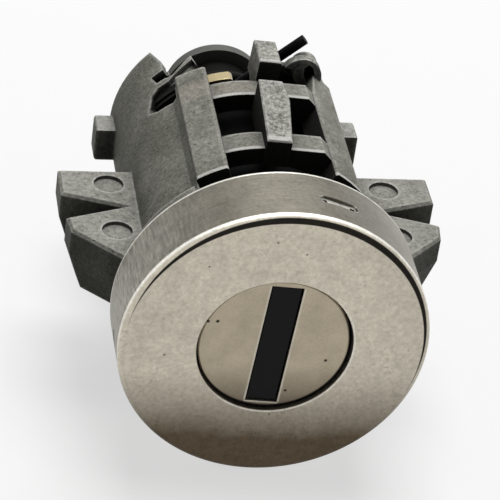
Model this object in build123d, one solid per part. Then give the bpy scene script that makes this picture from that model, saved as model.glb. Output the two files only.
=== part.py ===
from build123d import *
import os
from math import atan2, cos, degrees, radians, sin, sqrt, tan

# Car door lock. Every size is in millimetres.
# The lock's axis is the Y axis. The key slot stands upright, along Z.
# y = 0 is the rear edge of the face cap, which seats on the door handle. Negative y is towards the driver.
# Angles round the axis are in degrees, from +X towards +Z, as seen from the driver's side.

# Fits
running_gap = 0.05        # radial clearance of a piece that turns
slide_gap = 0.06          # clearance on each side of a piece that slides
free_gap = 0.35           # air between pieces that must never touch
cap_fit = 0.05            # radial clearance of the pressed cap on the housing

# How finely the springs are drawn
small_coil_steps = 9
small_wire_sides = 5
return_coil_steps = 22
return_wire_sides = 10

# Face cap
cap_radius = 15.0
cap_depth = 7.5
cap_wall = 0.7
cap_edge_radius = 0.6
cap_hole_radius = 7.55
dimple_count = 3
dimple_angle = 75.2       # the dimple seen at the upper right
dimple_length = 3.9
dimple_height = 1.1
dimple_inset = 0.3        # how far a dimple is pressed inwards
dimple_y = -3.9
dimple_hole_radius = 0.22 # the sheet is pierced at both ends of a dimple

# Plug
plug_recess = 0.4         # the plug's face lies this far behind the cap's face
plug_head_radius = 7.42
plug_barrel_radius = 8.6
barrel_front_y = 1.5
barrel_rear_y = 26.2
hub_radius = 5.4
hub_rear_y = 34.4
tail_radius = 4.2
tail_rear_y = 38.5
tang_width = 5.6
tang_thickness = 2.5
tang_rear_y = 43.6
key_slot_width = 2.8
key_slot_height = 10.2
key_slot_rear_y = 21.4

# Plug face plate
plate_thickness = 0.5
plate_radius = 7.35
plate_edge = 0.15
plate_slot_width = 3.14
plate_slot_height = 13.5
plate_tab_width = 3.0
plate_tab_length = 2.0
plate_tab_x = 6.2

# Key shutter, its pin and its spring
shutter_edge_gap = 0.17   # gap from the flap's pad to the slot's edge
shutter_step_back = 0.2   # the pad's face lies this far behind the plate's face
shutter_pad_depth = 0.45
shutter_arm_depth = 0.5
shutter_pivot_x = -2.5
shutter_pivot_back = 1.35 # from the plate's front face to the pin's centre
shutter_barrel_radius = 0.7
shutter_barrel_half = 5.0
shutter_pin_radius = 0.4
shutter_pin_half = 5.9
shutter_spring_half = 1.1
shutter_wire_radius = 0.09
shutter_spring_turns = 5.5
shutter_room_x = (-1.7, 1.75)   # the pocket in the plug that the flap folds into
shutter_room_depth = 4.35       # how far it reaches behind the pin
hinge_room_reach = 0.95         # the hinge's part of the pocket, beyond the pin
hinge_room_x = -1.3
hinge_room_gap = 0.15
hinge_floor = 0.9

# Wafers and their springs
wafer_count = 8
wafer_first_y = 4.0
wafer_pitch = 2.3
wafer_thickness = 1.2
wafer_width = 6.4
wafer_top = 6.9
wafer_tip_width = 5.0
wafer_tip_length = 1.9
wafer_edge_in = 0.1       # how far a drawn-in wafer's corners lie inside the barrel
wafer_throw = 1.0         # travel from drawn in to locked
wafer_window_width = 3.0
wafer_window_height = 8.6
wafer_window_drop = 0.3   # how far the window's middle lies below the plug's axis
wafer_steps = (0.0, 0.5, 0.25, 0.6, 0.1, 0.45, 0.2, 0.35)
wafer_arm_length = 1.75
wafer_arm_depth = 1.1
wafer_arm_top = 0.5
wafer_spring_radius = 0.62
wafer_wire_radius = 0.12
wafer_spring_turns = 4
wafer_spring_length = 3.6
wafer_pocket_half = 0.8   # half the width of a spring's pocket along the plug

# Retaining wafer and its spring
retainer_thickness = 1.4
retainer_front_y = 24.05
retainer_half_width = 4.6
retainer_horn_right_x = -1.75
retainer_top = 6.9
retainer_floor = 1.7      # thickness of the plug under the retaining wafer's spring
retainer_reach = 10.7     # radius of the horn's tip
retainer_throw = 2.4
retainer_spring_radius = 0.85
retainer_wire_radius = 0.15
retainer_spring_turns = 4
retainer_spring_length = 4.3

# Housing
flange_front_gap = 0.05
collar_radius = 13.9
collar_rear_y = 2.5
cavity_radius = 10.4
wall_front_y = 21.7       # rear bearing wall
wall_rear_y = 24.0
wall_top_radius = 9.6
shell_rear_y = 32.4
cup_radius = 11.05        # inside of the rear cup
cup_wall = 1.0
cage_radius = cup_radius + cup_wall
rail_rise = 0.95          # how far the rails stand out of the cage
rail_radius = cage_radius + rail_rise
left_rail_angles = (113.5, 128.5)
right_rail_angles = (47.0, 63.2)
left_rail_ends = (4.7, 23.5)
right_rail_ends = (5.8, 25.4)
rail_rear_cut = ((60.0, 25.4), (66.0, 25.4), (66.0, 21.1), (63.2, 21.1))
band_rise = 0.15
band_radius = cage_radius + band_rise
front_band_ends = (8.4, 11.4)
rear_band_ends = (18.4, 21.1)
wing_top = band_radius + 0.05  # a band's right end is flat
band_wing = ((0.5, 11.0), (0.5, wing_top), (4.9, wing_top), (5.7, wing_top - 0.75), (5.7, 9.3))
fin_left_x = -0.85
fin_right_x = 1.65
fin_front_shift = 0.25    # the fin's front end lies this far to the left
fin_bulge = (2.0, 14.9)   # the widest point of its right side
fin_front_y = 8.1
fin_rear_y = 17.9
fin_front_top = band_radius + 1.1
fin_rear_top = band_radius + 2.3
block_x = 0.9
block_width = 2.3
block_front_gap = 0.1
block_rear_y = 25.6
block_top = fin_rear_top
right_shell_radius = cage_radius - 0.3  # the shell is slimmer between the right rail and the right ear
rail_flank_angle = 133.0  # the left rail's outer flank runs out here
lobe_angle = 57.0         # the right shell ends here in the rear cup
claw_tip_angle = 138.2    # the left shell ends here in a point
claw_shoulder_y = 29.4
claw_root_angle = 134.0
claw_root_y = 27.0
claw_notch = ((140.9, 27.7), (130.0, 27.7), (130.0, 25.9), (138.7, 26.1))
claw_boss = ((143.0, 25.9), (143.0, 28.5), (134.0, 28.5), (134.0, 25.9))  # thicker wall under the notch
claw_boss_radius = cup_radius - 1.35
notch_floor_radius = claw_boss_radius + 0.6
side_pocket = ((146.2, 22.1), (143.1, 24.5), (139.3, 25.1), (130.0, 25.1), (131.0, 20.8), (141.2, 21.2))
pocket_floor_radius = 9.2
pocket_rear_floor = cup_radius + 0.4  # the cup's wall keeps a floor here under the pocket's rear end
web_outline = ((135.5, 24.0), (135.5, 25.9), (130.4, 25.8), (119.2, 27.9), (117.0, 25.2), (117.0, 24.0))
web_hollow = ((132.0, 23.9), (132.0, 25.1), (120.0, 27.1), (118.0, 25.2), (118.0, 23.9))
groove_inner_radius = 9.3 # casting groove in the front of the flange
groove_outer_radius = 12.4
groove_depth = 5.4
groove_rib = 1.6
lock_rib_width = 1.3
lock_rib_top = 4.0        # the ribs reach this near the key slot's middle
rib_gap = 0.12            # radial gap between a rib and the barrel
post_x = 5.85
post_z = 11.25
post_radius = 1.4
post_ends = (25.0, 27.3)
post_hollow = ((5.55, 11.2), (5.5, 12.0), (5.95, 12.4), (6.4, 12.1), (6.75, 11.2), (6.65, 10.0), (6.2, 10.0))
post_hollow_depth = 1.4
hook_x = 5.4              # the arched hook in front of the post, beside the spring's leg
hook_z = 10.87
hook_radius = 2.1
hook_wall = 0.5
hook_rear_y = 26.0
hook_end = (4.1, 11.75)   # lower right corner of the hook's free end
hook_open = ((3.0, 9.3), (3.0, 11.75), hook_end, (4.6, 12.9), (5.3, 12.9), (4.95, 11.7), (5.25, 10.8),
             (6.0, 9.3))
cup_web = ((2.2, 7.4), (2.2, 9.7), (3.4, 10.95), (6.2, cup_radius - 0.1), (7.9, cup_radius - 2.45),
           (6.0, 5.2))
cup_web_ends = (26.9, 27.7)
cup_web_bore = 7.2
casting_round = 0.3       # rounding of the casting's outer edges
cut_reach = 2.0           # a cut through the wall is drawn this far outside it

# Mounting ears, seat lugs
ear_turn = 4.3            # the ears and lugs are clocked this far from the key slot's normal
ear_top = 3.4
ear_bottom = -3.4
ear_step = 0.6            # height where the lower bevel starts
ear_bevel = 1.4
ear_bevel_from = 13.0     # only the outline's outer part is bevelled
ear_outline = ((10.2, 17.4), (19.0, 17.4), (19.0, 13.0), (12.9, 11.0), (18.8, 8.9), (18.5, 6.6),
               (13.8, 2.1), (10.2, 2.1))
ear_disc_radius = 1.5     # round marks sunk in the ear's top
ear_disc_depth = 0.35
ear_disc_points = ((14.1, 14.9), (14.0, 6.7))
lug_reach = 14.0
lug_root = 11.4
lug_ends = (27.9, 30.9)
lug_top = 1.5
lug_bottom = -2.1

# Return spring
coil_radius = 6.1
coil_wire_radius = 0.55
coil_front_y = 26.95
coil_pitch = 1.7
coil_end_angle = 270.0
leg_angle = 45.9          # direction of the long leg
leg_length = 14.0
leg_foot_radius = 3.9

# Drive plate and clip
drive_radius = 5.5
drive_thickness = 1.2
clip_thickness = 0.7
clip_groove_depth = 0.6
clip_radius = 4.3

# Worked out from the sizes above
far = tang_rear_y + cap_depth     # longer than the whole lock, for cuts that run right through
cap_face_y = -cap_depth
cap_bore = cap_radius - cap_wall
flange_radius = cap_bore - cap_fit
flange_front_y = cap_face_y + cap_wall + flange_front_gap
plug_face_y = cap_face_y + plug_recess
head_front_y = plug_face_y + plate_thickness
head_bore = plug_head_radius + running_gap
barrel_bore = plug_barrel_radius + running_gap
shutter_pivot_y = plug_face_y + shutter_pivot_back
wafer_ys = tuple(wafer_first_y + wafer_pitch * i for i in range(wafer_count))
wafer_tip_z = -sqrt((plug_barrel_radius - wafer_edge_in) ** 2 - (wafer_tip_width / 2) ** 2)
retainer_rear_y = retainer_front_y + retainer_thickness
retainer_bottom = retainer_floor + retainer_spring_length - plug_barrel_radius
drive_rear_y = tail_rear_y + drive_thickness


def outline(points):
    """A flat face with straight sides between these points."""
    return make_face(Polyline(*points, close=True))


def along_y(face, y0, y1):
    """Pushes a flat outline, drawn with X to the right and Z up, from y0 to y1."""
    return extrude(Plane.XZ.offset(-y1) * face, amount=y1 - y0)


def upright(face, z0, z1):
    """Pushes a flat outline, drawn in X and Y, from z0 up to z1."""
    return extrude(Plane.XY.offset(z0) * face, amount=z1 - z0)


def block(x0, x1, y0, y1, z0, z1):
    """A plain box between these limits."""
    middle = ((x0 + x1) / 2, (y0 + y1) / 2, (z0 + z1) / 2)
    return Pos(*middle) * Box(x1 - x0, y1 - y0, z1 - z0)


def rod(radius, y0, y1, x=0.0, z=0.0):
    """A round bar along the Y axis."""
    return Pos(x, (y0 + y1) / 2, z) * Rot(90, 0, 0) * Cylinder(radius, y1 - y0)


def tube(outer, inner, y0, y1):
    """A round tube on the lock's axis."""
    return along_y(Circle(outer) - Circle(inner), y0, y1)


def polar(radius, angle):
    """A point at this radius and angle round the axis, as X and Z."""
    return (radius * cos(radians(angle)), radius * sin(radians(angle)))


def sector(inner, outer, a0, a1, y0, y1):
    """A piece of a tube between two angles."""
    middle = (a0 + a1) / 2
    edges = [
        Line(polar(inner, a0), polar(outer, a0)),
        ThreePointArc(polar(outer, a0), polar(outer, middle), polar(outer, a1)),
        Line(polar(outer, a1), polar(inner, a1)),
        ThreePointArc(polar(inner, a1), polar(inner, middle), polar(inner, a0)),
    ]
    return along_y(make_face(edges), y0, y1)


def patch(points, inner, outer):
    """A piece of a tube's wall whose outline is given in angle and y."""
    angles = [a for a, y in points]
    middle = (min(angles) + max(angles)) / 2
    flat = []
    for a, y in points:
        flat.append((outer * tan(radians(middle - a)), y))
    slab = extrude(Plane.XY * outline(flat), amount=far)
    return (Rot(0, 90 - middle, 0) * slab) & tube(outer, inner, -far, far)


def helix_points(radius, pitch, turns, per_turn, turn_sign=1):
    """Points of a coil wound round the Z axis, starting on +X at z = 0."""
    count = max(2, round(per_turn * turns))
    points = []
    for k in range(count + 1):
        share = turns * k / count
        angle = radians(360 * share * turn_sign)
        points.append(Vector(radius * cos(angle), radius * sin(angle), pitch * share))
    return points


def wire_solid(points, wire, sides):
    """A bent wire with a many-sided section and mitred bends, through these points."""
    runs = [(b - a).normalized() for a, b in zip(points, points[1:])]
    start = Plane(origin=points[0], z_dir=runs[0])
    ring = []
    for k in range(sides):
        angle = radians(360 * k / sides)
        ring.append(points[0] + (start.x_dir * cos(angle) + start.y_dir * sin(angle)) * wire)
    rings = [ring]
    for k, run in enumerate(runs):
        # The section slides along its run to the mitre plane of the next bend
        after = runs[k + 1] if k + 1 < len(runs) else run
        mitre = (run + after).normalized()
        ring = [q + run * ((points[k + 1] - q).dot(mitre) / run.dot(mitre)) for q in ring]
        rings.append(ring)
    faces = [Face(Wire.make_polygon(rings[0])), Face(Wire.make_polygon(rings[-1]))]
    for low, high in zip(rings, rings[1:]):
        for k in range(sides):
            after = (k + 1) % sides
            faces.append(Face(Wire.make_polygon([low[k], low[after], high[after], high[k]])))
    return Solid(Shell(faces))


def coil(length, radius, turns, wire):
    """A small compression spring along Z, starting at z = 0."""
    return wire_solid(helix_points(radius, length / turns, turns, small_coil_steps), wire, small_wire_sides)


def pressed(length, height, x0, x1):
    """A round-ended pad on the +X side, long round the axis, from x0 out to x1."""
    pad = Pos(dimple_y, 0) * Rot(0, 0, 90) * SlotOverall(length, height)
    return extrude(Plane.YZ.offset(x0) * pad, amount=x1 - x0)


def make_cap():
    """The pressed face cap with its plug hole and the three dimples that hold it on the flange."""
    outer = rod(cap_radius, cap_face_y, 0)
    rim = outer.edges().filter_by(GeomType.CIRCLE).sort_by(Axis.Y)[0]
    outer = fillet(rim, cap_edge_radius)
    cap = outer - rod(cap_bore, cap_face_y + cap_wall, 1) - rod(cap_hole_radius, cap_face_y - 1, 1)
    wall = 2 * cap_edge_radius
    inner = cap_bore - dimple_inset
    dimple = pressed(dimple_length + wall, dimple_height + wall, inner, cap_radius - cap_edge_radius)
    hollow = pressed(dimple_length, dimple_height, cap_radius - dimple_inset, far)
    for side in (-1, 1):
        z = side * (dimple_length - dimple_height) / 2
        hollow += Pos(cap_radius, dimple_y, z) * Rot(0, 90, 0) * Cylinder(dimple_hole_radius, cap_radius)
    for i in range(dimple_count):
        turn = Rot(0, -dimple_angle - i * 360 / dimple_count, 0)
        cap += turn * dimple
        cap -= turn * hollow
    return cap


def make_ear():
    """One fishtail ear on the +X side, before it is clocked."""
    top = upright(outline(ear_outline), ear_step - 0.01, ear_top)
    shifted = []
    for x, y in ear_outline:
        shifted.append((x - ear_bevel if x > ear_bevel_from else x, y))
    low_face = Plane.XY.offset(ear_bottom) * outline(shifted)
    high_face = Plane.XY.offset(ear_step) * outline(ear_outline)
    crown = top.edges().filter_by(lambda e: e.center().Z > ear_top - 0.01 and e.center().X > ear_bevel_from)
    ear = chamfer(crown, casting_round) + loft([low_face, high_face], ruled=True)
    for x, y in ear_disc_points:
        ear -= Pos(x, y, ear_top) * Cylinder(ear_disc_radius, 2 * ear_disc_depth)
    return ear


def make_lug():
    """One seat lug on the +X side, before it is clocked."""
    lug = block(lug_root, lug_reach, lug_ends[0], lug_ends[1], lug_bottom, lug_top)
    outside = lug.edges().filter_by(lambda e: e.center().X > lug_reach - 0.1)
    return fillet(outside, casting_round)


def make_rail(angles, ends):
    """One raised rail along the shell, with rounded outer corners."""
    rail = sector(cavity_radius, rail_radius, angles[0], angles[1], ends[0], ends[1])
    corners = rail.edges().filter_by(Axis.Y)
    corners = corners.filter_by(lambda e: sqrt(e.center().X ** 2 + e.center().Z ** 2) > rail_radius - 0.1)
    return fillet(corners, casting_round) - rod(cup_radius, wall_rear_y, far)


def make_fin():
    """The fin along the top, which tapers in plan and rises to the rear."""
    plan = ((fin_left_x - fin_front_shift, fin_front_y), (fin_right_x - fin_front_shift, fin_front_y),
            fin_bulge, (fin_right_x, fin_rear_y), (fin_left_x, fin_rear_y))
    side = ((fin_front_y - 1, cavity_radius), (fin_front_y - 1, fin_front_top), (fin_front_y, fin_front_top),
            (fin_rear_y + 1, fin_rear_top), (fin_rear_y + 1, cavity_radius))
    fin = upright(outline(plan), cavity_radius, fin_rear_top + 1)
    fin &= extrude(Plane.YZ.offset(-cage_radius) * outline(side), amount=2 * cage_radius)
    crown = fin.edges().filter_by(lambda e: e.center().Z > fin_front_top - 0.05)
    return chamfer(crown, casting_round / 2)


def make_top_block():
    """The block behind the fin, with the notch for a wire in front of it."""
    left = block_x - block_width / 2
    right = block_x + block_width / 2
    body = block(left, right, rear_band_ends[1] + block_front_gap, block_rear_y, cup_radius, block_top)
    crown = body.edges().filter_by(lambda e: e.center().Z > block_top - 0.05)
    body = fillet(crown, casting_round)
    # Its foot stands on the rear band and on the bearing wall
    body += block(left, right, rear_band_ends[1] - 0.6, block_rear_y, cup_radius, band_radius - 0.05)
    body += block(left, right, wall_front_y, wall_rear_y, wall_top_radius - 0.5, cup_radius + 0.5)
    return body


def make_hook():
    """The post beside the spring's leg, with the arched hook in front of it."""
    hook = rod(hook_radius, post_ends[0], hook_rear_y, hook_x, hook_z)
    under = rod(hook_radius - hook_wall, post_ends[0], hook_rear_y, hook_x, hook_z)
    under += block(-far, hook_end[0], post_ends[0], hook_rear_y, -far, hook_end[1])
    hook -= under & along_y(outline(hook_open), -far, far)
    hook += rod(post_radius, post_ends[0], post_ends[1], post_x, post_z)
    hook -= along_y(outline(post_hollow), -far, post_ends[0] + post_hollow_depth)
    return hook - rod(cup_radius + 0.05, -far, far)


def make_housing():
    """The die-cast housing: flange, cage, rails, bands, fin, rear cup, ears and lugs."""
    body = rod(flange_radius, flange_front_y, 0)
    body += rod(collar_radius, 0, collar_rear_y)
    body += rod(cage_radius, collar_rear_y, shell_rear_y)
    # The left rail's outer flank runs out into the shell
    inside = cage_radius - 0.8
    flank = [polar(rail_radius, left_rail_angles[1] - 2), polar(cage_radius - 0.02, rail_flank_angle),
             polar(inside, rail_flank_angle), polar(inside, left_rail_angles[1] - 2)]
    body += along_y(outline(flank), collar_rear_y - 0.1, left_rail_ends[1] - 1)
    # The bores, from the front to the rear
    body -= rod(head_bore, flange_front_y - 1, barrel_front_y)
    body -= rod(cavity_radius, barrel_front_y - running_gap, wall_front_y)
    body -= rod(barrel_bore, wall_front_y - 1, wall_rear_y + 1)
    body -= rod(cup_radius, wall_rear_y, shell_rear_y + 1)
    # The groove for the cap's dimples
    groove_low = dimple_y - dimple_height / 2 - cap_edge_radius - 0.15
    groove_high = dimple_y + dimple_height / 2 + cap_edge_radius + 0.15
    body -= tube(flange_radius + 1, cap_bore - dimple_inset - 0.12, groove_low, groove_high)
    # The casting groove that keeps the flange's walls even
    groove = tube(groove_outer_radius, groove_inner_radius, flange_front_y - 1, flange_front_y + groove_depth)
    for a in (45, 135, 225, 315):
        groove -= Rot(0, -a, 0) * block(0, far, -far, far, -groove_rib / 2, groove_rib / 2)
    body -= groove
    # The open top, from the cap's edge to the rear
    first = right_rail_angles[0]
    last = left_rail_angles[1]
    beyond = shell_rear_y + 1
    body -= sector(cavity_radius, far, first, last, -0.6, wall_front_y)
    body -= sector(wall_top_radius, far, first, last, wall_front_y, beyond)
    body -= sector(cup_radius - 0.3, far, lobe_angle, claw_root_angle, wall_rear_y, beyond)
    body -= sector(right_shell_radius, far, ear_turn, first, collar_rear_y, beyond)
    # The left shell ends in a point over a notch, with a pocket beside the rail
    clear_angle = claw_root_angle - 12
    tip_y = shell_rear_y + 0.05
    tip_cut = ((claw_root_angle, claw_root_y), (claw_root_angle, claw_shoulder_y), (claw_tip_angle, tip_y),
               (clear_angle, tip_y), (clear_angle, claw_root_y))
    body -= patch(tip_cut, cup_radius - 0.3, cage_radius + cut_reach)
    body += patch(claw_boss, claw_boss_radius, cup_radius + 0.1)
    body -= patch(claw_notch, notch_floor_radius, cage_radius + cut_reach)
    body += patch(web_outline, cup_radius, cage_radius)
    body -= patch(web_hollow, pocket_rear_floor, cage_radius + cut_reach)
    pocket = patch(side_pocket, pocket_floor_radius, cage_radius + cut_reach)
    body -= pocket - rod(pocket_rear_floor, wall_rear_y, far)
    # The rails, with the bands between them
    rear_cut = patch(rail_rear_cut, cup_radius, rail_radius + cut_reach)
    body += make_rail(left_rail_angles, left_rail_ends)
    body += make_rail(right_rail_angles, right_rail_ends) - rear_cut
    band_angles = (right_rail_angles[1] - 2, left_rail_angles[0] + 2)
    for ends in (front_band_ends, rear_band_ends):
        body += sector(cavity_radius, band_radius, *band_angles, *ends)
        body += along_y(outline(band_wing), ends[0], ends[1])
    body += make_fin()
    body += make_top_block()
    body += make_hook()
    body += along_y(outline(cup_web), *cup_web_ends) - rod(cup_web_bore, -far, far)
    # The ribs that stop the wafers
    rib_in = wafer_tip_width / 2 + free_gap
    for side in (-1, 1):
        x0, x1 = sorted((side * rib_in, side * (rib_in + lock_rib_width)))
        rib_front = barrel_front_y - running_gap
        rib = block(x0, x1, rib_front, wall_front_y + 0.5, -cage_radius + 1, -lock_rib_top)
        body += rib - rod(plug_barrel_radius + rib_gap, -far, far)
    # The ears and lugs, clocked together
    ear = make_ear() - rod(cavity_radius + 0.5, -far, far)
    lug = make_lug() - rod(cup_radius + 0.3, -far, far)
    side_set = ear + lug
    other = mirror(side_set, about=Plane.YZ)
    body += Rot(0, -ear_turn, 0) * (side_set + other)
    body -= rod(cap_radius + 2, -far, 0) - rod(flange_radius, -far, 0)
    return body


def make_plug():
    """The plug: head, barrel with the wafer slots, spring hub, tail and driving tang."""
    plug = rod(plug_head_radius, head_front_y, barrel_front_y)
    plug += rod(plug_barrel_radius, barrel_front_y, barrel_rear_y)
    plug += rod(hub_radius, barrel_rear_y, hub_rear_y)
    plug += rod(tail_radius, hub_rear_y, tail_rear_y)
    w = tang_width / 2
    t = tang_thickness / 2
    plug += block(-w, w, tail_rear_y - 0.5, tang_rear_y, -t, t)
    for side in (-1, 1):
        x0, x1 = sorted((side * (w - clip_groove_depth), side * (w + 1)))
        plug -= block(x0, x1, drive_rear_y + 0.05, drive_rear_y + clip_thickness + 0.15, -t - 1, t + 1)
    # The key's way in, and the shutter's pocket behind the face plate
    plug -= block(-key_slot_width / 2, key_slot_width / 2, head_front_y - 1, key_slot_rear_y,
                  -key_slot_height / 2, key_slot_height / 2)
    front = head_front_y - 1
    deep = shutter_pivot_y + shutter_room_depth
    half = plate_slot_height / 2
    hinge_half = shutter_barrel_half + hinge_room_gap
    pocket = block(*shutter_room_x, front, deep, -half, half)
    pocket += block(shutter_pivot_x - hinge_room_reach, hinge_room_x, front, deep, -hinge_half, hinge_half)
    pocket += block(shutter_pivot_x + 0.1, hinge_room_x, shutter_pivot_y + hinge_floor, deep, -half, half)
    plug -= pocket & rod(plug_head_radius - free_gap, -far, far)
    plug -= Pos(shutter_pivot_x, shutter_pivot_y, 1) * Cylinder(shutter_pin_radius, 2 * shutter_pin_half + 2)
    for side in (-1, 1):
        x0, x1 = sorted((side * (plate_tab_x - slide_gap), side * (plug_head_radius + 1)))
        tab_half = plate_tab_width / 2 + slide_gap
        plug -= block(x0, x1, front, head_front_y + plate_tab_length + 0.1, -tab_half, tab_half)
    # The wafer slots, each with its spring pocket
    for i, y in enumerate(wafer_ys):
        half_w = wafer_width / 2 + slide_gap
        half_t = wafer_thickness / 2 + slide_gap
        low = wafer_tip_z + wafer_tip_length - 0.3 - wafer_throw
        plug -= block(-half_w, half_w, y - half_t, y + half_t, low, wafer_top + 0.1)
        tip_w = wafer_tip_width / 2 + slide_gap
        plug -= block(-tip_w, tip_w, y - half_t, y + half_t, -plug_barrel_radius - 1, 0)
        side = 1 if i % 2 == 0 else -1
        x0, x1 = sorted((side * (half_w - 0.1), side * (half_w + wafer_arm_length + 0.15)))
        arm_low = wafer_arm_top - wafer_arm_depth - wafer_throw - 0.1
        plug -= block(x0, x1, y - wafer_pocket_half, y + wafer_pocket_half,
                      arm_low, wafer_arm_top + wafer_spring_length + 0.02)
    # The retaining wafer's slot and its spring's hole
    y0 = retainer_front_y - slide_gap
    y1 = retainer_rear_y + slide_gap
    rw = retainer_half_width + slide_gap
    plug -= block(-rw, rw, y0, y1, retainer_bottom - retainer_throw - 0.1, retainer_top + 0.02)
    plug -= block(-rw, retainer_horn_right_x + slide_gap, y0, y1, 0, plug_barrel_radius + 1)
    spring_y = (y0 + y1) / 2
    hole = retainer_spring_radius + retainer_wire_radius + 0.08
    bottom = retainer_bottom - retainer_spring_length
    plug -= Pos(0, spring_y, (bottom + retainer_bottom) / 2) * Cylinder(hole, retainer_bottom - bottom)
    # The slot in the hub for the return spring's inner foot
    foot_y = coil_front_y + coil_pitch * coil_turns()
    slot = coil_wire_radius + 0.08
    plug -= block(-slot, slot, foot_y - slot, hub_rear_y + 1, -hub_radius - 1, -leg_foot_radius + 0.1)
    return plug


def coil_turns():
    """How many turns lie between the long leg's tangent point and the inner foot."""
    return 3 + (coil_end_angle - (leg_angle + 90)) / 360


def make_face_plate():
    """The pressed face of the plug, with the shutter's slot and two folded tabs."""
    plate = rod(plate_radius, plug_face_y, head_front_y)
    rim = plate.edges().filter_by(GeomType.CIRCLE).sort_by(Axis.Y)[0]
    plate = chamfer(rim, plate_edge)
    w = plate_slot_width / 2
    h = plate_slot_height / 2
    plate -= block(-w, w, -far, far, -h, h)
    for side in (-1, 1):
        x0, x1 = sorted((side * plate_tab_x, side * (plate_tab_x + plate_thickness)))
        plate += block(x0, x1, head_front_y - 0.2, head_front_y + plate_tab_length,
                       -plate_tab_width / 2, plate_tab_width / 2)
    return plate


def make_shutter():
    """The black flap that closes the key slot, with its hinge barrels."""
    pad_x = plate_slot_width / 2 - shutter_edge_gap
    pad_z = plate_slot_height / 2 - shutter_edge_gap
    front = plug_face_y + shutter_step_back
    back = front + shutter_pad_depth
    flap = block(-pad_x, pad_x, front, back + 0.1, -pad_z, pad_z)
    flap += block(-pad_x, pad_x - 0.1, back, back + shutter_arm_depth, -pad_z + 0.2, pad_z - 0.2)
    h = shutter_barrel_half
    flap += block(shutter_pivot_x, -pad_x + 0.1, back, back + shutter_arm_depth, -h, h)
    flap += Pos(shutter_pivot_x, shutter_pivot_y, 0) * Cylinder(shutter_barrel_radius, 2 * h)
    flap -= Pos(shutter_pivot_x, shutter_pivot_y, 0) * Cylinder(shutter_pin_radius + running_gap, 2 * h + 1)
    s = shutter_spring_half + 0.1
    flap -= block(shutter_pivot_x - 1, -pad_x - 0.15, back - 1, back + 2, -s, s)
    return flap


def make_shutter_spring():
    """The hair spring that closes the flap, round its pin."""
    wire = shutter_wire_radius
    radius = shutter_pin_radius + wire + 0.06
    length = 2 * shutter_spring_half - 2 * wire - 0.1
    arm_y = shutter_step_back + shutter_pad_depth + shutter_arm_depth - shutter_pivot_back + wire + 0.02
    low = Vector(0, 0, -length / 2)
    points = [Vector(1.9, arm_y, 0) + low, Vector(radius, arm_y, 0) + low]
    for point in helix_points(radius, length / shutter_spring_turns, shutter_spring_turns, small_coil_steps):
        points.append(point + low)
    points.append(Vector(-radius - 0.3, 0, length / 2))
    return Pos(shutter_pivot_x, shutter_pivot_y, 0) * wire_solid(points, wire, small_wire_sides)


def make_wafer(i):
    """One brass wafer, drawn in level with the barrel."""
    w = wafer_width / 2
    tip = wafer_tip_width / 2
    side = 1 if i % 2 == 0 else -1
    t = wafer_thickness / 2
    wafer = block(-w, w, -t, t, wafer_tip_z + wafer_tip_length, wafer_top)
    wafer += block(-tip, tip, -t, t, wafer_tip_z, 0)
    wafer &= rod(plug_barrel_radius - wafer_edge_in, -far, far)
    x0, x1 = sorted((side * (w - 0.1), side * (w + wafer_arm_length)))
    wafer += block(x0, x1, -t, t, wafer_arm_top - wafer_arm_depth, wafer_arm_top)
    hw = wafer_window_width / 2
    low = wafer_steps[i] - wafer_window_drop - wafer_window_height / 2
    window = block(-hw, hw, -far, far, low, low + wafer_window_height)
    wafer -= window
    return Pos(0, wafer_ys[i], 0) * wafer


def make_wafer_spring(i):
    """The small spring that pushes one wafer out."""
    wire = wafer_wire_radius
    side = 1 if i % 2 == 0 else -1
    height = wafer_spring_length - 2 * wire
    spring = coil(height, wafer_spring_radius, wafer_spring_turns, wire)
    x = side * (wafer_width / 2 + wafer_arm_length / 2 + 0.1)
    return Pos(x, wafer_ys[i], wafer_arm_top + wire) * spring


def make_retainer():
    """The brass wafer that holds the plug in the housing. Its horn stands behind the bearing wall."""
    y0 = retainer_front_y
    y1 = retainer_rear_y
    w = retainer_half_width
    piece = block(-w, w, y0, y1, retainer_bottom, retainer_top)
    piece += block(-w, retainer_horn_right_x, y0, y1, 0, retainer_reach)
    piece &= rod(retainer_reach, y0 - 1, y1 + 1)
    crown = piece.edges().filter_by(Axis.Y).sort_by(Axis.Z)[-1]
    return fillet(crown, 0.5)


def make_retainer_spring():
    """The spring under the retaining wafer."""
    wire = retainer_wire_radius
    height = retainer_spring_length - 2 * wire
    spring = coil(height, retainer_spring_radius, retainer_spring_turns, wire)
    y = (retainer_front_y + retainer_rear_y) / 2
    return Pos(0, y, retainer_bottom - retainer_spring_length + wire) * spring


def make_return_spring():
    """The black spring that turns the plug back, with its long leg out beside the block."""
    start = leg_angle + 90
    turns = coil_turns()
    x, z = polar(coil_radius, start)
    tip_x = x + leg_length * cos(radians(leg_angle))
    tip_z = z + leg_length * sin(radians(leg_angle))
    points = [Vector(tip_x, coil_front_y, tip_z)]
    for point in helix_points(coil_radius, coil_pitch, turns, return_coil_steps):
        # The coil runs on from the leg's tangent point, round towards the inner foot
        angle = start + degrees(atan2(point.Y, point.X))
        x, z = polar(coil_radius, angle)
        points.append(Vector(x, coil_front_y + point.Z, z))
    x, z = polar(leg_foot_radius, coil_end_angle)
    points.append(Vector(x, points[-1].Y, z))
    return wire_solid(points, coil_wire_radius, return_wire_sides)


def make_drive_plate():
    """The round driver on the plug's tail."""
    plate = rod(drive_radius, tail_rear_y, drive_rear_y)
    w = tang_width / 2 + 0.03
    t = tang_thickness / 2 + 0.03
    return plate - block(-w, w, tail_rear_y - 1, drive_rear_y + 1, -t, t)


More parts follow.
